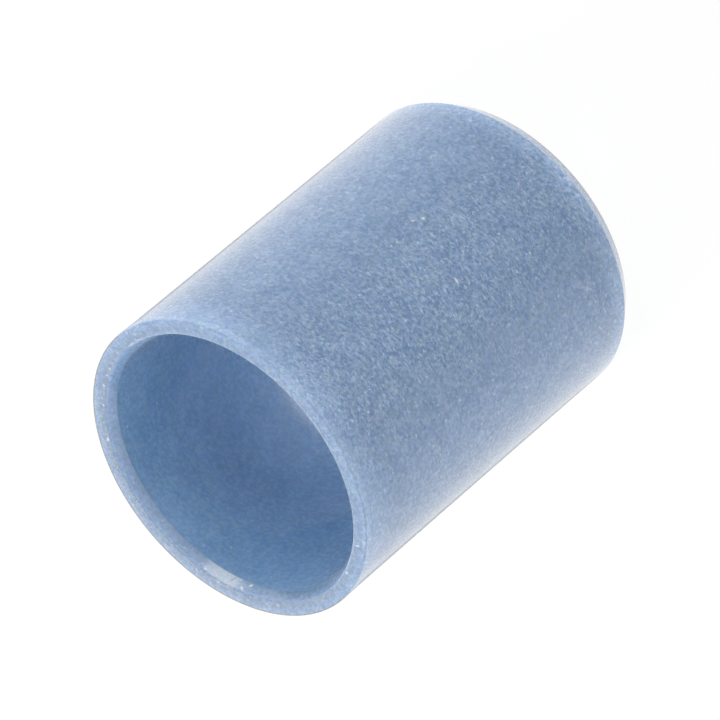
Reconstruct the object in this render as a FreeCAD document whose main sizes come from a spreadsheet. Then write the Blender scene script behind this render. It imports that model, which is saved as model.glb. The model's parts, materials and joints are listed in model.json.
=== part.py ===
import FreeCAD, Part
import os

import Sketcher

# Plain sleeve bearing, moulded in one piece from a fibre-filled plastic.
# It stands on its foot, the end that is pressed into a housing first. The origin is the centre of
# the foot and +Z runs up the bore. Both ends of the bore open out in a conical mouth, and a conical
# lead-in outside the foot leaves only a narrow land to stand on. The head is flat, with a crisp rim.

SIZES = (
    ("bore_diameter", 20.0, "running wall, in mm"),
    ("wall_thickness", 1.5, "between the bore and the outside, in mm"),
    ("sleeve_length", 30.0, "foot to head, in mm"),
    ("mouth_length", 0.75, "depth of each mouth along the bore, in mm"),
    ("mouth_angle", 28.0, "between a mouth and the axis, in degrees"),
    ("foot_land", 0.45, "flat ring that is left on the foot, in mm"),
    ("lead_in_angle", 32.0, "between the lead-in and the axis, in degrees"),
    ("edge_radius", 0.1, "rounding of the edges of both end faces, in mm"),
)

# Sizes that follow from the ones above, as formulas for the sheet.
FOLLOWING_SIZES = (
    ("bore_radius", "=bore_diameter / 2", "half of the bore"),
    ("outer_radius", "=bore_radius + wall_thickness", "half of the outside"),
    ("mouth_depth", "=mouth_length * tan(mouth_angle)", "how far a mouth cuts into the wall"),
    ("lead_in_depth", "=wall_thickness - mouth_depth - foot_land", "how far the lead-in cuts in"),
    ("lead_in_length", "=lead_in_depth / tan(lead_in_angle)", "height of the lead-in"),
)

# How a constraint names the two ends of a line, and the sketch's horizontal axis, which starts
# at its origin.
START = 1
END = 2
AXIS = -1

# An edge counts as the circle that is looked for within this distance, in mm.
MATCH = 1e-4


def make_sheet(document):
    """Spreadsheet that drives the sleeve: a name, a value and a note on each row."""
    sheet = document.addObject("Spreadsheet::Sheet", "Sizes")
    for row, (name, value, note) in enumerate(SIZES + FOLLOWING_SIZES, start=1):
        sheet.set(f"A{row}", name)
        sheet.set(f"B{row}", str(value))
        sheet.setAlias(f"B{row}", name)
        sheet.set(f"C{row}", note)
    document.recompute()
    return sheet


def origin_plane(body, role):
    """The plane of the body's own origin that has this role."""
    return next(plane for plane in body.Origin.OriginFeatures if plane.Role == role)


def draw_section(body, sheet):
    """Half section of the wall in the XZ plane: sketch X is the radius, sketch Y the height."""
    sketch = body.newObject("Sketcher::SketchObject", "wall_section")
    sketch.AttachmentSupport = [(origin_plane(body, "XZ_Plane"), "")]
    sketch.MapMode = "FlatFace"

    bore = sheet.bore_radius
    outside = sheet.outer_radius
    top = sheet.sleeve_length
    mouth_edge = bore + sheet.mouth_depth
    corners = [
        (mouth_edge, 0.0),
        (outside - sheet.lead_in_depth, 0.0),
        (outside, sheet.lead_in_length),
        (outside, top),
        (mouth_edge, top),
        (bore, top - sheet.mouth_length),
        (bore, sheet.mouth_length),
    ]
    points = [FreeCAD.Vector(radius, height, 0.0) for radius, height in corners]
    outline = [
        sketch.addGeometry(Part.LineSegment(point, following), False)
        for point, following in zip(points, points[1:] + points[:1])
    ]
    foot, lead_in, outer_wall, head, head_mouth, bore_wall, foot_mouth = outline

    for line, following in zip(outline, outline[1:] + outline[:1]):
        sketch.addConstraint(Sketcher.Constraint("Coincident", line, END, following, START))
    for line in (foot, head):
        sketch.addConstraint(Sketcher.Constraint("Horizontal", line))
    for line in (outer_wall, bore_wall):
        sketch.addConstraint(Sketcher.Constraint("Vertical", line))
    sketch.addConstraint(Sketcher.Constraint("PointOnObject", foot, START, AXIS))

    # Each size: name, direction, from a point, to a point, formula.
    sized = (
        ("bore_wall_radius", "DistanceX", (AXIS, START), (bore_wall, END), "Sizes.bore_radius"),
        ("outer_wall_radius", "DistanceX", (AXIS, START), (outer_wall, START), "Sizes.outer_radius"),
        ("height", "DistanceY", (foot, START), (head, END), "Sizes.sleeve_length"),
        ("lead_in_width", "DistanceX", (lead_in, START), (lead_in, END), "Sizes.lead_in_depth"),
        ("lead_in_height", "DistanceY", (lead_in, START), (lead_in, END), "Sizes.lead_in_length"),
        ("head_mouth_width", "DistanceX", (head_mouth, END), (head_mouth, START), "Sizes.mouth_depth"),
        ("head_mouth_height", "DistanceY", (head_mouth, END), (head_mouth, START), "Sizes.mouth_length"),
        ("foot_mouth_width", "DistanceX", (foot_mouth, START), (foot_mouth, END), "Sizes.mouth_depth"),
        ("foot_mouth_height", "DistanceY", (foot_mouth, END), (foot_mouth, START), "Sizes.mouth_length"),
    )
    for name, direction, origin, target, formula in sized:
        value = distance_between(sketch, origin, target, direction)
        number = sketch.addConstraint(Sketcher.Constraint(direction, *origin, *target, value))
        sketch.renameConstraint(number, name)
        sketch.setExpression(f"Constraints.{name}", formula)
    return sketch


def distance_between(sketch, origin, target, direction):
    """Distance along one direction of the sketch between two of its points, as drawn."""
    step = sketch.getPoint(*target) - sketch.getPoint(*origin)
    return step.x if direction == "DistanceX" else step.y


def revolve_wall(body, sketch):
    """The wall: its section turned once round the bore's axis."""
    wall = body.newObject("PartDesign::Revolution", "wall")
    wall.Profile = sketch
    wall.ReferenceAxis = (sketch, ["V_Axis"])
    wall.Angle = 360.0
    return wall


def round_end_edges(body, wall, sheet):
    """Small radius on the edges where the two flat end faces meet the walls and cones."""
    mouth_edge = sheet.bore_radius + sheet.mouth_depth
    circles = (
        (sheet.outer_radius, sheet.sleeve_length),
        (mouth_edge, sheet.sleeve_length),
        (mouth_edge, 0.0),
        (sheet.outer_radius - sheet.lead_in_depth, 0.0),
    )
    rounding = body.newObject("PartDesign::Fillet", "end_edges")
    rounding.Base = (wall, [circle_name(wall.Shape, radius, height) for radius, height in circles])
    rounding.setExpression("Radius", "Sizes.edge_radius")
    return rounding


def circle_name(shape, radius, height):
    """Name of the one circular edge of this radius at this height."""
    for number, edge in enumerate(shape.Edges, start=1):
        curve = edge.Curve
        if not isinstance(curve, Part.Circle):
            continue
        if abs(curve.Radius - radius) < MATCH and abs(curve.Center.z - height) < MATCH:
            return f"Edge{number}"
    raise ValueError(f"no edge of radius {radius} at height {height}")


def make_sleeve(document, sheet):
    """The bearing's one piece."""
    body = document.addObject("PartDesign::Body", "sleeve")
    body.Label = "sleeve"
    body.Placement = FreeCAD.Placement(FreeCAD.Vector(0, 0, 0), FreeCAD.Rotation())
    sketch = draw_section(body, sheet)
    wall = revolve_wall(body, sketch)
    document.recompute()
    round_end_edges(body, wall, sheet)
    document.recompute()
    return body


def check(document, pieces):
    """Stop if any object failed to build or a piece isn't a sound solid."""
    for item in document.Objects:
        if "Invalid" in item.State or "Error" in item.State:
            raise RuntimeError(f"{item.Label} failed: {item.State}")
        if item.isDerivedFrom("Sketcher::SketchObject") and not item.FullyConstrained:
            raise RuntimeError(f"{item.Label} has a size that nothing sets")
    for piece in pieces:
        if piece.Shape.isNull() or not piece.Shape.isValid() or len(piece.Shape.Solids) != 1:
            raise RuntimeError(f"{piece.Label} isn't one valid solid")


def export(pieces):
    """One STEP file for each piece, named after it."""
    os.makedirs("parts", exist_ok=True)
    for piece in pieces:
        piece.Shape.exportStep(f"parts/{piece.Label}.step")
        box = piece.Shape.optimalBoundingBox()
        print(f"{piece.Label}: {box.XLength:.3f} x {box.YLength:.3f} x {box.ZLength:.3f} mm,"
              f" {piece.Shape.Volume:.1f} mm3")


document = FreeCAD.newDocument("sleeve_bearing")
sheet = make_sheet(document)
pieces = [make_sleeve(document, sheet)]
check(document, pieces)
export(pieces)
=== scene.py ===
"""Plain sleeve bearing of fibre-filled plastic, standing on its foot on a white studio floor."""
import json
import math

import bpy
from bpy.props import FloatProperty, FloatVectorProperty, IntProperty, PointerProperty
from mathutils import Matrix, Vector


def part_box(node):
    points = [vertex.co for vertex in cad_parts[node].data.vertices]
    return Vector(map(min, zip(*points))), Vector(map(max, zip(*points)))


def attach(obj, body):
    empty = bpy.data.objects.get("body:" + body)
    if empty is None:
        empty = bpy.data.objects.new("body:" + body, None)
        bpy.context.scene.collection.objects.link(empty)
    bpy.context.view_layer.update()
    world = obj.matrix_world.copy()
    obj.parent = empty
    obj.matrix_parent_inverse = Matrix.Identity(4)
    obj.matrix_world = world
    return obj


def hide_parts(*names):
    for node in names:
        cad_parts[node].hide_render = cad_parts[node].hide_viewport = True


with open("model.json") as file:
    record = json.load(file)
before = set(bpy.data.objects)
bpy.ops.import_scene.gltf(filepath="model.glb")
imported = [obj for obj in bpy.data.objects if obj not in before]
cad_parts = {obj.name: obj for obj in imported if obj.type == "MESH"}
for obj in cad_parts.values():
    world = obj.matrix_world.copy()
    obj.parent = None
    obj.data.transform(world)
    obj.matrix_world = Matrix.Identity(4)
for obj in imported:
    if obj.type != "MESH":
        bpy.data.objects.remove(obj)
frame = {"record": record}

bl_info = {
    "name": "Sleeve bearing",
    "version": (1, 0, 0),
    "blender": (4, 5, 0),
    "location": "View3D > Sidebar > Sleeve",
    "description": "Models a plain plastic sleeve bearing and the studio that it stands in",
    "category": "Object",
}

MM = 0.001
NODE = "sleeve"

# The sleeve's sizes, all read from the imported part. Each end face is given by the middle of its flat ring.
MOUNTS = {mount["name"]: mount for mount in frame["record"]["mounts"]}
LENGTH = (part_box(NODE)[1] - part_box(NODE)[0]).z
BORE_RADIUS = MOUNTS["bore"]["dims"]["r_mm"] * MM
OUTER_RADIUS = MOUNTS["outside"]["dims"]["r_mm"] * MM
OUTER_LENGTH = MOUNTS["outside"]["dims"]["length_mm"] * MM
MOUTH_LENGTH = (LENGTH - MOUNTS["bore"]["dims"]["length_mm"] * MM) / 2
MOUTH_DEPTH = 2 * MOUNTS["head"]["pos_m"][0] - OUTER_RADIUS - BORE_RADIUS
MOUTH_RADIUS = BORE_RADIUS + MOUTH_DEPTH
FOOT_LAND = 2 * (MOUNTS["foot"]["pos_m"][0] - MOUTH_RADIUS)
LEAD_IN_DEPTH = OUTER_RADIUS - MOUTH_RADIUS - FOOT_LAND
LEAD_IN_LENGTH = MOUNTS["outside"]["pos_m"][2] - OUTER_LENGTH / 2
EDGE_RADIUS = LENGTH - LEAD_IN_LENGTH - OUTER_LENGTH

# The same sizes in mm, in which the plastic is described: the radii of the bore, of a mouth's wide end and
# of the outside, and the heights where the mouth in the head starts and ends.
BORE = BORE_RADIUS / MM
MOUTH_EDGE = MOUTH_RADIUS / MM
OUTER = OUTER_RADIUS / MM
MOUTH_START = (LENGTH - MOUTH_LENGTH) / MM
HEAD = LENGTH / MM


def steps_of(name, text, value, least):
    """A number of steps, as a property of the add-on."""
    return IntProperty(name=name, description=text, default=value, min=least)


def size_of(name, text, value):
    """A length, as a property of the add-on."""
    return FloatProperty(
        name=name, description=text, default=value, unit="LENGTH", subtype="DISTANCE", precision=6
    )


def angle_of(name, text, degrees):
    """An angle given in degrees, as a property of the add-on."""
    return FloatProperty(name=name, description=text, default=math.radians(degrees), subtype="ANGLE")


def colour_of(name, text, value):
    """A colour in linear light, as a property of the add-on."""
    return FloatVectorProperty(
        name=name, description=text, default=value, subtype="COLOR", size=3, min=0, max=1
    )


def share_of(name, text, value):
    """A number from 0 to 1, as a property of the add-on."""
    return FloatProperty(name=name, description=text, default=value, subtype="FACTOR", min=0, max=1)


def power_of(name, text, value):
    """A lamp's power in watts, as a property of the add-on."""
    return FloatProperty(name=name, description=text, default=value, unit="POWER", min=0, precision=4)


class SleeveShape(bpy.types.PropertyGroup):
    """How finely the wall is modelled, and how rough its mouths are."""

    segments: steps_of("Segments", "Flat steps once round the wall", 640, 64)
    wall_rows: steps_of("Wall rows", "Steps along each wall", 36, 2)
    mouth_rows: steps_of("Mouth rows", "Steps down each cone and across each land", 6, 1)
    edge_steps: steps_of("Edge steps", "Steps in each rounded edge", 4, 1)
    smooth_angle: angle_of("Smooth angle", "Faces that meet at less than this look like one surface", 24)
    chip_size: size_of("Chip size", "Grain of the small chips along the mouths", 0.35 * MM)
    chip_depth: size_of("Chip depth", "How far the deepest chips reach in", 0.022 * MM)


class SleeveFinish(bpy.types.PropertyGroup):
    """Colours and grain of the milky blue plastic and its short pale fibres, and of the light painted on
    them.
    """

    plastic: colour_of("Plastic", "The blue between the fibres, on the outside", (0.076, 0.195, 0.420))
    # Painted light: the bore's blue is lighter than the outside's, to make up for light that the deep bore
    # lacks.
    bore_plastic: colour_of("Bore plastic", "The same blue in the smooth bore", (0.106, 0.254, 0.442))
    fibre: colour_of("Fibre", "Pale fibres and haze near the surface", (0.575, 0.740, 0.945))
    # Pale marks, and the painted glints and highlights of bright fibre ends and of the front of the mouth's
    # edge.
    pale_and_glint: colour_of("Pale and glints", "Brightest fibre ends", (0.820, 0.890, 0.960))
    dust: colour_of("Dust", "Dark specks", (0.060, 0.075, 0.095))
    tan: colour_of("Tan", "Tan specks in the bore", (0.300, 0.300, 0.310))
    rim: colour_of("Rim", "Thin grey line along the outer edges of both ends", (0.280, 0.285, 0.320))
    # Painted light: a pale sheen on the head, and also the colour of the cone's painted highlight.
    painted_sheen: colour_of("Painted sheen", "Haze on the head", (0.700, 0.700, 0.660))
    milkiness: share_of("Milkiness", "Share of pale fibre in the plastic", 0.215)
    roughness: share_of("Roughness", "Surface roughness under the glossy skin", 0.27)


class SleeveStudio(bpy.types.PropertyGroup):
    """The view and the soft studio light."""

    focal_length: FloatProperty(
        name="Focal length",
        description="Of the camera in mm, for a sensor 36 mm wide",
        default=400.35,
        unit="CAMERA",
    )
    elevation: angle_of("Elevation", "Camera above the horizon", 37.637)
    roll: angle_of("Roll", "Turn of the camera about its own view", -130.241)
    distance: size_of("Distance", "From the camera to the centre of the head, along the view", 530.279 * MM)
    head_right: size_of("Head right", "Centre of the head, right of the middle of the picture", -8.730 * MM)
    head_up: size_of("Head up", "Centre of the head, above the middle of the picture", -7.232 * MM)
    daylight: share_of("Daylight", "Strength of the even light from all round", 0.05)
    shadow: share_of("Shadow", "How much of the sleeve's shadow shows on the floor", 0.10)
    shade: share_of("Shade", "How dark the floor behind the sleeve is in its glossy skin", 0.5)
    table_light: power_of("Table light", "Power of the light under the foot", 0.0016)
    card_light: power_of("Card light", "Power of the card that the mouth mirrors", 0.50)
    floor_size: size_of("Floor size", "Side of the square floor", 6.0)


class Signal:
    """What comes out of a node's socket. Sums and products of numbers add their own nodes."""

    def __init__(self, graph, socket):
        self.graph = graph
        self.socket = socket

    def __add__(self, other):
        return self.graph.maths("ADD", self, other)

    def __radd__(self, other):
        return self.graph.maths("ADD", other, self)

    def __sub__(self, other):
        return self.graph.maths("SUBTRACT", self, other)

    def __rsub__(self, other):
        return self.graph.maths("SUBTRACT", other, self)

    def __mul__(self, other):
        return self.graph.maths("MULTIPLY", self, other)

    def __rmul__(self, other):
        return self.graph.maths("MULTIPLY", other, self)

    def __truediv__(self, other):
        return self.graph.maths("DIVIDE", self, other)

    def __rtruediv__(self, other):
        return self.graph.maths("DIVIDE", other, self)

    def __pow__(self, other):
        return self.graph.maths("POWER", self, other)

    def rise(self, start, end):
        """0 before start, 1 after end, smooth in between. A start above the end gives a fall."""
        return self.graph.node(
            "ShaderNodeMapRange",
            {"interpolation_type": "SMOOTHSTEP"},
            {"Value": self, "From Min": start, "From Max": end},
        )["Result"]


class Graph:
    """The nodes of one material or world."""

    def __init__(self, owner):
        owner.use_nodes = True
        self.tree = owner.node_tree
        self.tree.nodes.clear()

    def node(self, kind, settings=None, sockets=None):
        """Add a node, make its settings, then give its sockets their values or links. Outputs by name."""
        made = self.tree.nodes.new(kind)
        for name, value in (settings or {}).items():
            setattr(made, name, value)
        for name, value in (sockets or {}).items():
            if isinstance(value, Signal):
                self.tree.links.new(value.socket, made.inputs[name])
            else:
                made.inputs[name].default_value = value
        return {output.name: Signal(self, output) for output in made.outputs if output.enabled}

    def maths(self, operation, first, second=0.0):
        """One sum, difference, product or the like of numbers."""
        return self.node("ShaderNodeMath", {"operation": operation}, {0: first, 1: second})["Value"]

    def vector_maths(self, operation, sockets):
        """One sum, product or the like of places or colours."""
        return self.node("ShaderNodeVectorMath", {"operation": operation}, sockets)["Vector"]

    def mix(self, share, start, end):
        """A colour between two colours."""
        sockets = {0: share, 6: as_colour(start), 7: as_colour(end)}
        return self.node("ShaderNodeMix", {"data_type": "RGBA"}, sockets)["Result"]

    def axes(self, place):
        """The three numbers of a place, under X, Y and Z."""
        return self.node("ShaderNodeSeparateXYZ", {}, {"Vector": place})

    def place(self, x, y, z):
        """A place made of three numbers."""
        return self.node("ShaderNodeCombineXYZ", {}, {"X": x, "Y": y, "Z": z})["Vector"]

    def stretched(self, places, turn, size):
        """Places turned by angles in degrees, then measured in units of size, one for each axis."""
        turned = self.node(
            "ShaderNodeMapping",
            {"vector_type": "POINT"},
            {"Vector": places, "Rotation": [math.radians(angle) for angle in turn]},
        )["Vector"]
        return self.vector_maths("MULTIPLY", {0: turned, 1: [1 / axis for axis in size]})


def as_colour(value):
    """Three colour numbers as four, and a signal as it is."""
    if isinstance(value, Signal):
        return value
    return (*value, 1.0)


def between(mask, off, on):
    """One number where the mask is 0, another where it is 1."""
    return off + (on - off) * mask


# Layers of finer noise on each noise, and the number that noise lies evenly about.
NOISE_DETAIL = 2.0
NOISE_MIDDLE = 0.5


def noise(graph, places, scale, roughness):
    """Even noise, as a number under Fac and as a colour under Color."""
    return graph.node(
        "ShaderNodeTexNoise",
        {"noise_dimensions": "3D"},
        {"Vector": places, "Scale": scale, "Detail": NOISE_DETAIL, "Roughness": roughness},
    )


def grain(graph, places, turn, size, roughness):
    """Even noise from 0 to 1 with features of this size."""
    return noise(graph, graph.stretched(places, turn, size), 1.0, roughness)["Fac"]


# A fibre ends at the first distance from the middle of its cell and is solid within the second. A share
# of the fibres is at full strength, and a second draw leaves each of them at least the faintest part of it.
FIBRE_BORDER = (0.46, 0.12)
FULL_SHARE = 0.2
FAINTEST = 0.35


def chopped_fibres(graph, places, turn, size, share):
    """Mask of short fibres: one in each cell, along its longest side, in a random share of the cells."""
    cells = graph.node(
        "ShaderNodeTexVoronoi",
        {"voronoi_dimensions": "3D", "feature": "F1"},
        {"Vector": graph.stretched(places, turn, size), "Scale": 1.0, "Randomness": 1.0},
    )
    chance = graph.node("ShaderNodeSeparateColor", {}, {"Color": cells["Color"]})
    kept = chance["Red"].rise(1 - share, 1 - share * FULL_SHARE)
    return cells["Distance"].rise(*FIBRE_BORDER) * kept * between(chance["Green"], FAINTEST, 1.0)


# A mark reaches through the wall, in mm. Its soft border is measured in half sizes of the mark.
MARK_DEPTH = 1000
MARK_BORDER = (1.25, 0.55)


def mark(graph, places, around, height, turn, length, width):
    """Mask of one small mark on the wall: mm along its circumference and up from the foot."""
    inside = graph.node(
        "ShaderNodeMapping",
        {"vector_type": "TEXTURE"},
        {
            "Vector": places,
            "Location": (around, height, 0),
            "Rotation": (0, 0, math.radians(turn)),
            "Scale": (length / 2, width / 2, MARK_DEPTH),
        },
    )["Vector"]
    away = graph.node("ShaderNodeVectorMath", {"operation": "LENGTH"}, {0: inside})["Value"]
    return away.rise(*MARK_BORDER)


def marks_of(graph, places, rows):
    """Masks of several marks, added up."""
    total = 0.0
    for strength, *row in rows:
        total = mark(graph, places, *row) * strength + total
    return total


# Small marks on the outside, then in the bore: strength, mm along the outer circumference from the front
# towards +X, mm up from the foot, turn in degrees, length and width in mm.
PALE_MARKS = (
    (1.00, 4.46, 12.15, 0, 0.28, 0.24),
    (0.90, 4.82, 12.85, 60, 0.34, 0.14),
    (0.95, -0.22, 14.10, -8, 0.60, 0.16),
    (0.40, -4.40, 8.95, 55, 0.42, 0.08),
    (0.40, -4.85, 8.55, 100, 0.55, 0.08),
    (0.36, -5.15, 8.15, 140, 0.34, 0.08),
    (0.40, -6.40, 4.75, 70, 0.50, 0.10),
    (0.42, -6.72, 4.45, 110, 0.50, 0.12),
    (0.34, -6.85, 4.20, 30, 0.34, 0.10),
    (0.22, -0.95, 12.90, 80, 1.10, 0.09),
    (0.24, -1.70, 13.70, 130, 0.90, 0.14),
    (0.22, -2.50, 14.55, 115, 1.30, 0.10),
)
DARK_MARKS = (
    (0.55, 10.74, 7.00, 20, 0.20, 0.12),
    (0.60, 9.43, 6.55, 20, 0.20, 0.12),
    (0.45, 10.50, 5.95, 80, 0.26, 0.12),
    (0.75, -9.21, 5.70, 0, 0.20, 0.14),
)
TAN_MARKS = (
    (0.45, -34.12, 26.20, 30, 0.40, 0.16),
    (0.40, -29.18, 19.95, 70, 0.50, 0.14),
    (0.35, -25.49, 22.30, 120, 0.40, 0.14),
    (0.30, -33.88, 16.80, 45, 1.10, 0.12),
)
BORE_DOTS = (
    (0.45, 28.0, 25.35, 0, 0.20, 0.20),
    (0.50, 27.9, 28.55, 0, 0.24, 0.20),
    (0.35, 23.8, 23.15, 0, 0.20, 0.20),
    (0.40, -31.2, 27.30, 40, 0.26, 0.16),
    (0.35, -32.8, 28.60, 0, 0.20, 0.20),
    (0.40, -26.6, 28.10, 70, 0.30, 0.16),
)

# Chips and scuffs on the flat head and its mouth, with bright fibre ends along its outer edge painted as
# glints: as above, but with the distance from the axis, counted on down the cone, in place of the height.
HEAD_MARKS = (
    (0.50, 17.3, 10.44, 0, 0.95, 0.17),
    (0.38, 16.2, 10.46, 0, 0.60, 0.12),
    (0.34, 16.2, 9.85, 10, 1.00, 0.30),
    (0.50, 16.2, 10.90, 90, 0.34, 0.22),
    (0.42, 19.2, 10.70, 90, 0.29, 0.18),
    (0.60, 21.2, 10.58, 0, 0.22, 0.17),
    (0.65, 22.0, 10.60, 30, 0.27, 0.17),
    (0.75, 23.2, 10.66, 0, 0.27, 0.22),
    (0.75, 25.1, 10.56, 0, 0.25, 0.20),
    (0.80, 28.2, 10.58, 0, 0.39, 0.25),
    (0.40, 33.0, 10.90, 0, 0.22, 0.17),
    (0.36, 33.5, 10.36, 60, 0.60, 0.14),
    (0.50, 35.9, 9.80, 0, 0.20, 0.17),
    (0.42, 12.9, 11.30, 0, 0.34, 0.15),
    (0.50, 9.3, 11.36, 60, 0.35, 0.12),
    (0.80, -31.4, 10.22, 0, 0.32, 0.22),
    (0.55, -32.0, 10.76, 45, 0.32, 0.17),
    (0.50, -30.0, 10.52, 0, 0.27, 0.17),
    # A faint wide mark: painted highlight, where the cone's highlight spreads onto the ring.
    (0.13, -29.7, 10.52, 0, 2.20, 0.42),
    (0.95, -28.0, 10.14, 30, 0.39, 0.24),
    (0.95, -27.4, 9.74, -30, 0.35, 0.22),
    (0.60, -28.4, 9.64, 0, 0.22, 0.17),
    (0.45, -25.5, 10.76, 0, 0.24, 0.17),
    (0.45, -24.4, 10.68, 0, 0.24, 0.17),
    (0.60, -9.0, 11.36, 0, 0.30, 0.13),
    (0.50, -9.6, 11.42, 60, 0.42, 0.08),
    (0.60, -10.2, 11.34, -30, 0.55, 0.11),
    (0.55, -11.4, 11.30, 0, 0.35, 0.34),
    (0.95, -12.0, 10.82, 60, 0.35, 0.20),
    (0.75, -13.8, 10.20, 0, 0.29, 0.18),
    (0.95, -15.2, 10.60, 0, 0.32, 0.17),
)

# One wide patch of painted highlight and one dark crack on the cone, by the brightest chips.
HEAD_HIGHLIGHT_PATCH = (0.30, -29.8, 9.98, 0, 3.80, 1.00)
HEAD_CRACK = (0.60, -29.0, 9.78, -52, 0.60, 0.10)

# Fibres on the wall: turn away from the circumference in degrees, size in mm, share of the cells that hold
# one, and strength.
FIBRE_LAYERS = (
    ((0, 0, 9), (0.60, 0.14, 0.15), 0.58, 1.00),
    ((0, 0, -14), (0.52, 0.15, 0.15), 0.50, 0.95),
    ((0, 0, 34), (0.42, 0.15, 0.16), 0.42, 0.95),
    ((0, 0, -58), (0.38, 0.15, 0.16), 0.36, 0.90),
    ((0, 0, 86), (0.32, 0.15, 0.16), 0.34, 0.85),
)

# Rare bright fibres, pale and painted as glints: turn, size in mm and share of the cells that hold one.
SPARKS = ((20, 40, 60), (0.36, 0.30, 0.30), 0.065)
POINTS = ((15, 35, 25), (0.26, 0.16, 0.17), 0.15)

# Soft clouds in the plastic, from large to small: turn in degrees, size in mm and roughness.
CLOUDS = ((0, 0, 0), (1.50, 1.50, 1.50), 0.60)
MOTTLE = ((10, 20, 30), (0.33, 0.33, 0.27), 0.60)
SPECKLE = ((0, 0, 6), (0.21, 0.12, 0.13), 0.65)

# Regions of the surface. Each has its borders: the value of a measure at which the region starts, and the
# one from which it is complete. A region can also lie within an earlier one. The measures are in mm, apart
# from the glinting wave, which goes from -1 to 1.
REGIONS = {
    "outside": {"radius": (BORE + 0.01, MOUTH_EDGE - 0.15)},
    "head_end": {"height": (HEAD - 3.6, HEAD + 0.2)},
    "foot_end": {"height": (3.1, 0.7)},
    "behind": {"back": (-7, 7)},
    "left": {"right": (-1, -8)},
    # Painted glints: a band down the front where the fibre streaks are stronger.
    "glinting_band": {"glinting_wave": (0.1, 0.9), "off_front": (9, 5)},
    # The front of the head's outer edge, then the head itself: the flat ring and the cone of its mouth.
    "brow": {
        "height": (HEAD - 0.75, HEAD - 0.15),
        "radius": (OUTER - 0.14, OUTER - 0.05),
        "back": (1, -2),
    },
    "head": {
        "height": (MOUTH_START - 0.05, MOUTH_START + 0.05),
        "radius": (OUTER - 0.005, OUTER - 0.03),
    },
    "ring": {"within": "head", "radius": (MOUTH_EDGE - 0.03, MOUTH_EDGE + 0.03)},
    "ring_back": {"within": "ring", "back": (-8, 11)},
    "inner_ring": {"within": "ring", "across": (MOUTH_EDGE + 0.85, MOUTH_EDGE + 0.25)},
    # Away from the mouth's edge, then the upper part of the cone without its far left, and that far left.
    "off_mouth": {"across": (MOUTH_EDGE, MOUTH_EDGE + 0.25)},
    "lip": {"radius": (MOUTH_EDGE - 0.16, MOUTH_EDGE - 0.03), "right": (-10, -6)},
    "cone_left": {"right": (-7.5, -10)},
    # The edge between the ring and the cone, with its part behind, the ridge, and its part in front, which
    # carries a painted highlight.
    "mouth_side": {"within": "head", "radius": (MOUTH_EDGE + 0.07, MOUTH_EDGE)},
    "mouth_edge": {"within": "mouth_side", "radius": (MOUTH_EDGE - 0.08, MOUTH_EDGE - 0.02)},
    "ridge": {"within": "mouth_edge", "back": (0, 4), "sideways": (9, 1)},
    "highlit_edge": {"within": "mouth_edge", "back": (0, -4)},
    # Where the outer edges of both ends turn out of sight.
    "head_rim": {
        "leaning_radius": (OUTER - 0.11, OUTER - 0.07),
        "height": (HEAD - 0.12, HEAD - 0.04),
        "back": (-1.5, 0.3),
    },
    "foot_rim": {"height": (0.30, 0.20), "radius": (MOUTH_EDGE + 0.30, MOUTH_EDGE + 0.40)},
}

# The glinting wave's length along the circumference in mm for each radian of it, and how far the rim leans
# out for each mm towards the back.
GLINTING_WAVE = 3.6
RIM_LEAN = 0.011

# What the way down the cone has over its way inwards, for each mm of height.
CONE_SLANT = (math.hypot(MOUTH_LENGTH, MOUTH_DEPTH) - MOUTH_DEPTH) / MOUTH_LENGTH


def measures_of(graph):
    """Where a point is: single measures, and places for patterns in the solid, on the wall and head."""
    metres = graph.node("ShaderNodeTexCoord")["Object"]
    solid = graph.vector_maths("SCALE", {0: metres, "Scale": 1 / MM})
    axes = graph.axes(solid)
    right, back, height = axes["X"], axes["Y"], axes["Z"]
    radius = (right * right + back * back) ** 0.5
    around = graph.maths("ARCTAN2", right, 0 - back) * OUTER
    # The distance from the axis on the head, counted on down the cone.
    across = radius - (HEAD - height) * CONE_SLANT
    return {
        "right": right,
        "back": back,
        "height": height,
        "radius": radius,
        "across": across,
        "sideways": graph.maths("ABSOLUTE", right),
        "off_front": graph.maths("ABSOLUTE", around),
        "glinting_wave": graph.maths("COSINE", around / GLINTING_WAVE),
        "leaning_radius": radius + back * RIM_LEAN,
        "solid": solid,
        "wall": graph.place(around, height, radius),
        "head": graph.place(around, across, height),
    }


def regions_of(at):
    """A mask for each region, 0 off it and 1 on it."""
    on = {}
    for name, borders in REGIONS.items():
        masks = [
            on[border] if measure == "within" else at[measure].rise(*border)
            for measure, border in borders.items()
        ]
        on[name] = math.prod(masks[1:], start=masks[0])
    on["cone"] = on["head"] - on["ring"]
    return on


# How strong the clouds and all of the grain are, in the bore and on the outside.
CLOUD_STRENGTH = (0.62, 0.32)
MOTTLE_STRENGTH = (0.92, 0.70)
SPECKLE_STRENGTH = (0.46, 0.70)
GRAIN_STRENGTH = (0.48, 1.00)
# How strong the fibres are off and on the glinting band, with painted glints, and what that band adds to the
# speckle.
FIBRE_STRENGTH = (0.42, 0.60)
GLINTING_SPECKLE = 0.38
# What is left of the grain away from the head end and on it. Both ends are milkier: partly the plastic's
# own haze, partly painted light.
HEAD_GRAIN = (1.00, 0.70)
HEAD_MILK = 0.07
FOOT_MILK = 0.20


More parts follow.
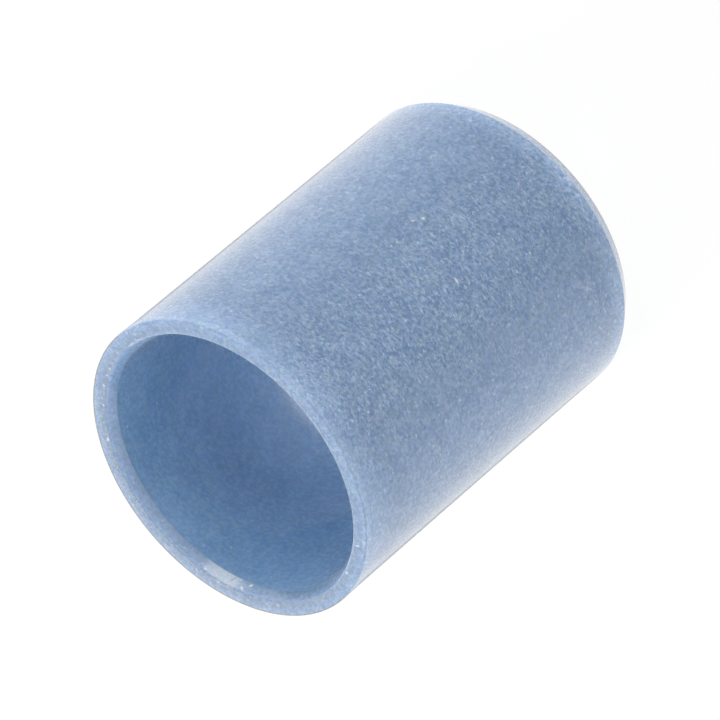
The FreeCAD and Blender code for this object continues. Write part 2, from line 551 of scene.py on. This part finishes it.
def milk_of(graph, at, on, mottle, speckle):
    """How much milkier or clearer than the plain plastic the fibres and clouds make each place."""
    clouds = grain(graph, at["solid"], *CLOUDS)
    speckle_strength = between(on["outside"], *SPECKLE_STRENGTH) + on["glinting_band"] * GLINTING_SPECKLE
    haze = (
        (clouds - NOISE_MIDDLE) * between(on["outside"], *CLOUD_STRENGTH)
        + (mottle - NOISE_MIDDLE) * between(on["outside"], *MOTTLE_STRENGTH)
        + (speckle - NOISE_MIDDLE) * speckle_strength
    )
    fibres = 0.0
    for turn, size, share, strength in FIBRE_LAYERS:
        fibres = chopped_fibres(graph, at["wall"], turn, size, share) * strength + fibres
    grainy = fibres * between(on["glinting_band"], *FIBRE_STRENGTH) + haze
    grainy = grainy * between(on["outside"], *GRAIN_STRENGTH) * between(on["head_end"], *HEAD_GRAIN)
    return grainy + on["head_end"] * HEAD_MILK + on["foot_end"] * FOOT_MILK


# Slow changes of hue: how many come in a mm, their roughness, and the range and lowest value of their red,
# green and blue.
HUE_SCALE = 2.6
HUE_ROUGHNESS = 0.6
TINT_RANGE = (0.42, 0.30, 0.38)
TINT_FLOOR = (0.79, 0.85, 0.81)


def clouded_plastic(graph, at, on, milk, finish):
    """The blue of the bore and outside with its milk, and with slow changes of hue."""
    blue = graph.mix(on["outside"], finish.bore_plastic, finish.plastic)
    clouded = graph.mix(milk, blue, finish.fibre)
    hue = noise(graph, at["solid"], HUE_SCALE, HUE_ROUGHNESS)["Color"]
    tint = graph.vector_maths("MULTIPLY_ADD", {0: hue, 1: TINT_RANGE, 2: TINT_FLOOR})
    return graph.vector_maths("MULTIPLY", {0: clouded, 1: tint})


# Painted light: how much brighter than the plain plastic each region is, as a share of it.
HEAD_GLOW = 0.24
FOOT_GLOW = 0.21
BROW_GLOW = 0.23
RIDGE_GLOW = 0.18
LIP_GLOW = 0.21
# On the cone: by the bore and above it, then for each mm outwards from a radius, and each mm to the right.
CONE_GLOW = (0.11, 0.08)
CONE_RADIUS = MOUTH_EDGE - 0.15
CONE_RISE = 0.6
CONE_TILT = 0.016
# Painted shade, how much darker: the left of the cone, then the inner ring in front and behind, and the
# share of that by the mouth and off it.
CONE_LEFT_SHADE = 0.18
RING_SHADE = (0.19, 0.37)
RING_SHARE = (0.55, 1.00)


def painted_light_of(at, on):
    """Painted light and shade: the brightness of each place, with 1 for plain plastic."""
    ring_shade = on["inner_ring"] * between(on["off_mouth"], *RING_SHARE)
    ring_shade = ring_shade * between(on["behind"], *RING_SHADE)
    cone = (at["radius"] - CONE_RADIUS) * CONE_RISE + between(on["outside"], *CONE_GLOW)
    cone = cone + at["right"] * CONE_TILT + on["lip"] * LIP_GLOW - on["cone_left"] * CONE_LEFT_SHADE
    ends = on["head_end"] * on["outside"] * HEAD_GLOW + on["foot_end"] * FOOT_GLOW
    edges = on["ridge"] * RIDGE_GLOW + on["brow"] * BROW_GLOW
    return 1.0 + edges + ends - ring_shade + on["cone"] * cone


# Painted light: strength of a pale sheen on the head, with that on the cone by the bore and above it.
RING_PAINTED_SHEEN = 0.12
CONE_PAINTED_SHEEN = (0.06, 0.12)
LIP_PAINTED_SHEEN = 0.07
BROW_PAINTED_SHEEN = 0.13

# Strength of the sparks, pale fibres painted as glints, in the bore and on the outside, and of the points to
# the right and left.
SPARK_STRENGTH = (0.20, 0.70)
POINT_STRENGTH = (0.42, 0.85)

# Strength of the painted highlight along the front of the mouth's edge.
EDGE_HIGHLIGHT = 0.75


def painted_sheen_of(graph, at, on):
    """Painted light, a pale sheen: towards the back of the ring, on the cone and its lip, and along the
    front edge.
    """
    # The cone's painted highlight.
    haze = marks_of(graph, at["head"], [HEAD_HIGHLIGHT_PATCH])
    cone = between(on["outside"], *CONE_PAINTED_SHEEN) + on["lip"] * LIP_PAINTED_SHEEN + haze
    return on["ring_back"] * RING_PAINTED_SHEEN + on["cone"] * cone + on["brow"] * BROW_PAINTED_SHEEN


def pale_fibres_and_glints(graph, at, on):
    """Rare pale fibres, painted as glints: sparks everywhere, and small points on the outside."""
    sparks = chopped_fibres(graph, at["wall"], *SPARKS) * between(on["outside"], *SPARK_STRENGTH)
    points = chopped_fibres(graph, at["wall"], *POINTS) * between(on["left"], *POINT_STRENGTH)
    return graph.maths("MAXIMUM", sparks, points * on["outside"])


def layers_of(graph, at, on, finish):
    """What lies on the plastic, from the lowest layer up: a mask and its colour, with painted light among
    them.
    """
    in_bore = 1 - on["outside"]
    pale_marks = (
        marks_of(graph, at["wall"], PALE_MARKS) * on["outside"]
        + marks_of(graph, at["wall"], BORE_DOTS) * in_bore
        + marks_of(graph, at["head"], HEAD_MARKS) * on["head"]
    )
    dark_marks = (
        marks_of(graph, at["wall"], DARK_MARKS) * on["outside"]
        + marks_of(graph, at["head"], [HEAD_CRACK]) * on["head"]
    )
    return (
        (painted_sheen_of(graph, at, on), finish.painted_sheen),
        (pale_fibres_and_glints(graph, at, on), finish.pale_and_glint),
        (pale_marks, finish.pale_and_glint),
        (dark_marks, finish.dust),
        (marks_of(graph, at["wall"], TAN_MARKS) * in_bore, finish.tan),
        (on["highlit_edge"] * EDGE_HIGHLIGHT, finish.pale_and_glint),
        (on["head_rim"] + on["foot_rim"], finish.rim),
    )


# Relief of the skin: the share of each grain in it, its strength in the bore and on the outside, and its
# full height.
MOTTLE_RELIEF = 0.4
SPECKLE_RELIEF = 0.8
RELIEF_STRENGTH = (0.25, 1.00)
RELIEF_HEIGHT = 0.02 * MM

# How far the roughness varies with the mottle.
ROUGHNESS_RANGE = 0.15


def glossy_skin(graph, on, colour, mottle, speckle, roughness):
    """The surface: soft plastic with a slight sheen under a clear glossy skin."""
    relief = (mottle * MOTTLE_RELIEF + speckle * SPECKLE_RELIEF) * between(on["outside"], *RELIEF_STRENGTH)
    bump = graph.node("ShaderNodeBump", {}, {"Strength": 0.3, "Distance": RELIEF_HEIGHT, "Height": relief})
    surface = graph.node(
        "ShaderNodeBsdfPrincipled",
        {},
        {
            "Base Color": colour,
            "Roughness": roughness + (mottle - NOISE_MIDDLE) * ROUGHNESS_RANGE,
            "Normal": bump["Normal"],
            "IOR": 1.5,
            "Sheen Weight": 0.2,
            "Sheen Roughness": 0.35,
            "Coat Weight": 1.0,
            "Coat Roughness": 0.06,
            "Coat IOR": 1.5,
        },
    )["BSDF"]
    graph.node("ShaderNodeOutputMaterial", {}, {"Surface": surface})


def milky_plastic(finish):
    """Milky blue plastic with chopped pale fibres: solid grain that runs round the wall."""
    material = bpy.data.materials.new("milky_blue_plastic")
    graph = Graph(material)
    at = measures_of(graph)
    on = regions_of(at)
    mottle = grain(graph, at["solid"], *MOTTLE)
    speckle = grain(graph, at["wall"], *SPECKLE)
    milk = finish.milkiness + milk_of(graph, at, on, mottle, speckle)
    plastic = clouded_plastic(graph, at, on, milk, finish)
    # Painted light and shade scale the plastic's colour.
    colour = graph.vector_maths("SCALE", {0: plastic, "Scale": painted_light_of(at, on)})
    for mask, paint in layers_of(graph, at, on, finish):
        colour = graph.mix(mask, colour, paint)
    glossy_skin(graph, on, colour, mottle, speckle, finish.roughness)
    return material


def only_selected(piece):
    """Make this piece the one that operators act on."""
    bpy.ops.object.select_all(action="DESELECT")
    piece.select_set(True)
    bpy.context.view_layer.objects.active = piece


# Points this near count as being at one place: in the section, and where the turned wall closes.
REACH = 1e-7
SEAM_REACH = 2e-6


def near_line(point, radius, height=None):
    """Whether a point of the section lies at this radius, and at this height if one is given."""
    return abs(point.x - radius) < REACH and (height is None or abs(point.z - height) < REACH)


def select_section(piece, corners=(), lines=()):
    """Select the section's corners at these places, or its runs whose ends both pass one of these tests."""
    bpy.ops.mesh.select_all(action="DESELECT")
    bpy.ops.object.mode_set(mode="OBJECT")
    for vertex in piece.data.vertices:
        vertex.select = any(near_line(vertex.co, *corner) for corner in corners)
    for edge in piece.data.edges:
        ends = [piece.data.vertices[index].co for index in edge.vertices]
        edge.select = any(all(inside(end) for end in ends) for inside in lines)
        for index in edge.vertices:
            piece.data.vertices[index].select |= edge.select
    bpy.ops.object.mode_set(mode="EDIT")


def draw_section():
    """Half section of the wall in the XZ plane, as the outline of one flat face."""
    bpy.ops.object.select_all(action="DESELECT")
    bpy.ops.mesh.primitive_plane_add(size=1, location=(0, 0, 0), rotation=(math.pi / 2, 0, 0))
    piece = bpy.context.object
    piece.name = "moulded_sleeve"
    piece.data.name = "moulded_sleeve"
    bpy.ops.object.transform_apply(location=True, rotation=True, scale=True)
    bpy.ops.object.mode_set(mode="EDIT")
    bpy.ops.mesh.select_all(action="SELECT")
    bpy.ops.transform.resize(value=(OUTER_RADIUS - BORE_RADIUS, 0, LENGTH), center_override=(0, 0, 0))
    bpy.ops.transform.translate(value=((OUTER_RADIUS + BORE_RADIUS) / 2, 0, LENGTH / 2))

    # Each cone: a point on its line, and the direction of the corner that it takes away.
    cones = (
        ((BORE_RADIUS, 0, LENGTH - MOUTH_LENGTH), (-MOUTH_LENGTH, 0, MOUTH_DEPTH)),
        ((BORE_RADIUS, 0, MOUTH_LENGTH), (-MOUTH_LENGTH, 0, -MOUTH_DEPTH)),
        ((OUTER_RADIUS, 0, LEAD_IN_LENGTH), (LEAD_IN_LENGTH, 0, -LEAD_IN_DEPTH)),
    )
    for point, away in cones:
        bpy.ops.mesh.select_all(action="SELECT")
        bpy.ops.mesh.bisect(plane_co=point, plane_no=Vector(away).normalized(), clear_outer=True)
    return piece


def round_corners(piece, shape):
    """Small radius on the four corners of the two end faces, where the outline turns by an angle."""
    mouth_turn = math.atan2(MOUTH_LENGTH, MOUTH_DEPTH)
    corners = (
        (OUTER_RADIUS, LENGTH, math.pi / 2),
        (MOUTH_RADIUS, LENGTH, mouth_turn),
        (MOUTH_RADIUS, 0.0, mouth_turn),
        (OUTER_RADIUS - LEAD_IN_DEPTH, 0.0, math.atan2(LEAD_IN_LENGTH, LEAD_IN_DEPTH)),
    )
    for radius, height, turn in corners:
        select_section(piece, corners=[(radius, height)])
        cut = EDGE_RADIUS * math.tan(turn / 2)
        bpy.ops.mesh.bevel(offset=cut, segments=shape.edge_steps, profile=0.5, affect="VERTICES")


def divide_runs(piece, shape):
    """Rows along both walls, down the cones and across the lands. The flat face goes, its outline stays."""
    bpy.ops.mesh.select_all(action="SELECT")
    bpy.ops.mesh.delete(type="ONLY_FACE")
    walls = (
        lambda point: near_line(point, BORE_RADIUS),
        lambda point: near_line(point, OUTER_RADIUS),
    )
    lands = (
        lambda point: abs(point.z) < REACH,
        lambda point: abs(point.z - LENGTH) < REACH,
    )
    cones = (
        lambda point: point.z > LENGTH - MOUTH_LENGTH - REACH and point.x < MOUTH_RADIUS,
        lambda point: point.z < MOUTH_LENGTH + REACH and point.x < MOUTH_RADIUS,
        lambda point: point.z < LEAD_IN_LENGTH + REACH and point.x > OUTER_RADIUS - LEAD_IN_DEPTH,
    )
    for lines, rows in ((walls, shape.wall_rows), (lands, shape.mouth_rows), (cones, shape.mouth_rows)):
        select_section(piece, lines=lines)
        keep_long_edges(piece, EDGE_RADIUS)
        bpy.ops.mesh.subdivide(number_cuts=rows - 1)


def keep_long_edges(piece, shortest):
    """Leave the short steps of the rounded corners out of the selection."""
    bpy.ops.object.mode_set(mode="OBJECT")
    for edge in piece.data.edges:
        start, end = (piece.data.vertices[index].co for index in edge.vertices)
        edge.select = edge.select and (end - start).length > shortest
    picked = {index for edge in piece.data.edges if edge.select for index in edge.vertices}
    for vertex in piece.data.vertices:
        vertex.select = vertex.index in picked
    bpy.ops.object.mode_set(mode="EDIT")


def turn_section(piece, shape):
    """Turn the section once round the bore's axis, closed on itself, with its faces outwards."""
    bpy.ops.object.mode_set(mode="OBJECT")
    modifier = piece.modifiers.new("turn", "SCREW")
    modifier.axis = "Z"
    modifier.angle = 2 * math.pi
    modifier.screw_offset = 0
    modifier.steps = shape.segments
    modifier.render_steps = shape.segments
    modifier.use_merge_vertices = True
    modifier.merge_threshold = SEAM_REACH
    only_selected(piece)
    bpy.ops.object.modifier_apply(modifier=modifier.name)
    bpy.ops.object.mode_set(mode="EDIT")
    bpy.ops.mesh.select_all(action="SELECT")
    bpy.ops.mesh.normals_make_consistent(inside=False)
    bpy.ops.object.mode_set(mode="OBJECT")


# The chips fade out this far from the mouth's edge. Their noise has layers of finer detail, and a middle
# level of 1 makes them all reach inwards.
CHIP_REACH = 2.2 * EDGE_RADIUS
CHIP_DETAIL = 3
CHIP_LEVEL = 1.0


def chip_mouths(piece, shape):
    """Slight unevenness along the edges of the bore's mouths."""
    group = piece.vertex_groups.new(name="mouth_edges")
    for vertex in piece.data.vertices:
        radius = math.hypot(vertex.co.x, vertex.co.y)
        for height in (0.0, LENGTH):
            away = math.hypot(radius - MOUTH_RADIUS, vertex.co.z - height)
            weight = 1 - away / CHIP_REACH
            if weight > 0:
                group.add([vertex.index], weight, "REPLACE")
    chips = bpy.data.textures.new("chips", "CLOUDS")
    chips.noise_scale = shape.chip_size
    chips.noise_depth = CHIP_DETAIL
    modifier = piece.modifiers.new("chips", "DISPLACE")
    modifier.texture = chips
    modifier.vertex_group = group.name
    modifier.strength = shape.chip_depth
    modifier.mid_level = CHIP_LEVEL
    only_selected(piece)
    bpy.ops.object.modifier_apply(modifier=modifier.name)
    piece.vertex_groups.clear()
    bpy.data.textures.remove(chips)


class SLEEVE_OT_mould(bpy.types.Operator):
    """Model the sleeve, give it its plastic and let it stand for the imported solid"""

    bl_idname = "sleeve.mould"
    bl_label = "Mould sleeve"

    def execute(self, context):
        shape = context.scene.sleeve_shape
        piece = draw_section()
        round_corners(piece, shape)
        divide_runs(piece, shape)
        turn_section(piece, shape)
        chip_mouths(piece, shape)
        only_selected(piece)
        bpy.ops.object.shade_smooth_by_angle(angle=shape.smooth_angle)
        piece.data.materials.append(milky_plastic(context.scene.sleeve_finish))
        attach(piece, "root")
        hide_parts(NODE)
        return {"FINISHED"}


# Soft lights round the sleeve: name, azimuth and elevation in degrees, distance and side in metres, and
# power in watts. The mirrored card's power is one of the studio's settings.
SOFTBOXES = (
    ("front_light", -90, 13, 0.60, 0.25, 0.75),
    ("right_light", -25, 22, 0.60, 0.25, 1.13),
    ("left_light", -149, 22, 0.60, 0.25, 0.63),
    ("right_back_light", 20, 15, 0.60, 0.25, 1.35),
    ("left_back_light", 160, 15, 0.60, 0.25, 1.08),
    ("head_light", 90, 35, 0.30, 0.12, 0.74),
)
MIRRORED_CARD = ("mirrored_card", -35, 14, 0.60, 0.28)

# Light table: a disc a little smaller than the bore, just above the floor.
TABLE_SIZE = 1.8 * BORE_RADIUS
TABLE_HEIGHT = 0.5 * MM

WHITE = (1.0, 1.0, 1.0, 1.0)
PAPER = (0.86, 0.86, 0.86, 1.0)

# The sleeve's shadow on the floor fades out between these distances from its axis. The lit paper is darker
# than white, so the glow grows with the shadow's share, by this much, where the camera sees both.
SHADOW_BORDER = (6 * LENGTH, 3 * LENGTH)
PAPER_MAKE_UP = 0.55

# The shade that the glossy skin mirrors lies between two slants: metres sideways from the wall for each
# metre back. It begins level with the sleeve's axis.
SHADE_START = (0.14, 0.24)
SHADE_END = (0.42, 0.32)
SHADE_BACK = (0.0, 2 * MM)


def white_floor(studio):
    """Floor that the camera and reflections see as white, with the sleeve's soft shadow on it."""
    material = bpy.data.materials.new("white_floor")
    graph = Graph(material)
    rays = graph.node("ShaderNodeLightPath")
    places = graph.axes(graph.node("ShaderNodeTexCoord")["Object"])
    right, back = places["X"], places["Y"]
    away = (right * right + back * back) ** 0.5
    shadow = studio.shadow * away.rise(*SHADOW_BORDER)

    # The floor's glow carries a painted shade behind the sleeve, which only the glossy skin mirrors, as a
    # thin grey line along its outline.
    slant = (graph.maths("ABSOLUTE", right) - OUTER_RADIUS) / graph.maths("MAXIMUM", back, MM)
    shade = slant.rise(*SHADE_START) * slant.rise(*SHADE_END) * back.rise(*SHADE_BACK)

    mirrored = graph.maths("MAXIMUM", rays["Is Glossy Ray"], rays["Is Transmission Ray"])
    seen = graph.maths("MAXIMUM", rays["Is Camera Ray"] * (1 - shadow), mirrored)
    strength = 1 + rays["Is Camera Ray"] * shadow * PAPER_MAKE_UP
    strength = strength * (1 - rays["Is Glossy Ray"] * shade * studio.shade)
    paper = graph.node("ShaderNodeBsdfDiffuse", {}, {"Color": PAPER})["BSDF"]
    glow = graph.node("ShaderNodeEmission", {}, {"Color": WHITE, "Strength": strength})["Emission"]
    lit = graph.node("ShaderNodeMixShader", {}, {0: seen, 1: paper, 2: glow})["Shader"]
    graph.node("ShaderNodeOutputMaterial", {}, {"Surface": lit})
    return material


def lay_floor(studio):
    """One large square floor under the foot."""
    bpy.ops.object.select_all(action="DESELECT")
    bpy.ops.mesh.primitive_plane_add(size=studio.floor_size, location=(0, 0, 0))
    floor = bpy.context.object
    floor.name = "studio_floor"
    floor.data.materials.append(white_floor(studio))


def fill_with_daylight(studio):
    """Even light from all round, white where the camera sees it."""
    world = bpy.data.worlds.new("studio_daylight")
    bpy.context.scene.world = world
    graph = Graph(world)
    rays = graph.node("ShaderNodeLightPath")
    seen = graph.maths("MAXIMUM", rays["Is Camera Ray"], rays["Is Glossy Ray"])
    seen = graph.maths("MAXIMUM", seen, rays["Is Transmission Ray"])
    strength = seen * (1.0 - studio.daylight) + studio.daylight
    sky = graph.node("ShaderNodeBackground", {}, {"Color": WHITE, "Strength": strength})["Background"]
    graph.node("ShaderNodeOutputWorld", {}, {"Surface": sky})


def add_lamp(name, shape, size, power):
    """A flat lamp that shines along its own -Z."""
    lamp = bpy.data.lights.new(name, "AREA")
    lamp.shape = shape
    lamp.size = size
    lamp.energy = power
    made = bpy.data.objects.new(name, lamp)
    bpy.context.scene.collection.objects.link(made)
    return made


def hang_softbox(name, azimuth, elevation, distance, side, power):
    """A square soft light that faces the middle of the sleeve, and that the glossy skin doesn't mirror."""
    softbox = add_lamp(name, "SQUARE", side, power)
    turn, lift = math.radians(azimuth), math.radians(elevation)
    outward = Vector((math.cos(turn) * math.cos(lift), math.sin(turn) * math.cos(lift), math.sin(lift)))
    softbox.location = Vector((0, 0, LENGTH / 2)) + outward * distance
    softbox.rotation_euler = outward.to_track_quat("Z", "Y").to_euler()
    softbox.visible_glossy = False
    return softbox


def hang_mirrored_card(studio):
    """A bright card that lights nothing and shows only in the gloss of the head's mouth."""
    card = hang_softbox(*MIRRORED_CARD, studio.card_light)
    card.visible_diffuse = False
    card.visible_glossy = True


def light_bore(studio):
    """Light table under the foot: a disc that shines up the bore."""
    table = add_lamp("light_table", "DISK", TABLE_SIZE, studio.table_light)
    table.location = (0, 0, TABLE_HEIGHT)
    table.rotation_euler = (math.pi, 0, 0)


def place_camera(studio):
    """The camera at the fixed view, rolled so that the head points to the lower left of the picture."""
    lift, roll = studio.elevation, studio.roll
    forward = Vector((0, math.cos(lift), -math.sin(lift)))
    level_right = Vector((1, 0, 0))
    level_up = level_right.cross(forward)
    right = math.cos(roll) * level_right + math.sin(roll) * level_up
    up = math.cos(roll) * level_up - math.sin(roll) * level_right
    head = Vector((0, 0, LENGTH))
    place = head - right * studio.head_right - up * studio.head_up - forward * studio.distance
    camera = bpy.data.objects.new("camera", bpy.data.cameras.new("camera"))
    bpy.context.scene.collection.objects.link(camera)
    camera.matrix_world = Matrix.Translation(place) @ Matrix((right, up, -forward)).transposed().to_4x4()
    camera.data.lens = studio.focal_length
    camera.data.sensor_width = 36.0
    camera.data.clip_start = 0.01
    camera.data.clip_end = 20.0
    bpy.context.scene.camera = camera


class SLEEVE_OT_stage(bpy.types.Operator):
    """Lay the floor, hang the lights and place the camera"""

    bl_idname = "sleeve.stage"
    bl_label = "Set stage"

    def execute(self, context):
        studio = context.scene.sleeve_studio
        lay_floor(studio)
        fill_with_daylight(studio)
        light_bore(studio)
        for row in SOFTBOXES:
            hang_softbox(*row)
        hang_mirrored_card(studio)
        place_camera(studio)
        context.scene.view_settings.view_transform = "Standard"
        return {"FINISHED"}


class SLEEVE_PT_panel(bpy.types.Panel):
    """Sidebar panel that lists the sleeve's steps"""

    bl_label = "Sleeve bearing"
    bl_idname = "SLEEVE_PT_panel"
    bl_space_type = "VIEW_3D"
    bl_region_type = "UI"
    bl_category = "Sleeve"

    def draw(self, context):
        for operator in (SLEEVE_OT_mould, SLEEVE_OT_stage):
            self.layout.operator(operator.bl_idname)
        for group in (context.scene.sleeve_shape, context.scene.sleeve_finish, context.scene.sleeve_studio):
            box = self.layout.box()
            for name in group.__annotations__:
                box.prop(group, name)


CLASSES = (SleeveShape, SleeveFinish, SleeveStudio, SLEEVE_OT_mould, SLEEVE_OT_stage, SLEEVE_PT_panel)


def register():
    for item in CLASSES:
        bpy.utils.register_class(item)
    bpy.types.Scene.sleeve_shape = PointerProperty(type=SleeveShape)
    bpy.types.Scene.sleeve_finish = PointerProperty(type=SleeveFinish)
    bpy.types.Scene.sleeve_studio = PointerProperty(type=SleeveStudio)


def unregister():
    del bpy.types.Scene.sleeve_studio
    del bpy.types.Scene.sleeve_finish
    del bpy.types.Scene.sleeve_shape
    for item in reversed(CLASSES):
        bpy.utils.unregister_class(item)


def main():
    """Register the add-on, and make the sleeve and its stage."""
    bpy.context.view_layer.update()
    register()
    bpy.ops.sleeve.mould()
    bpy.ops.sleeve.stage()


if __name__ == "__main__":
    main()
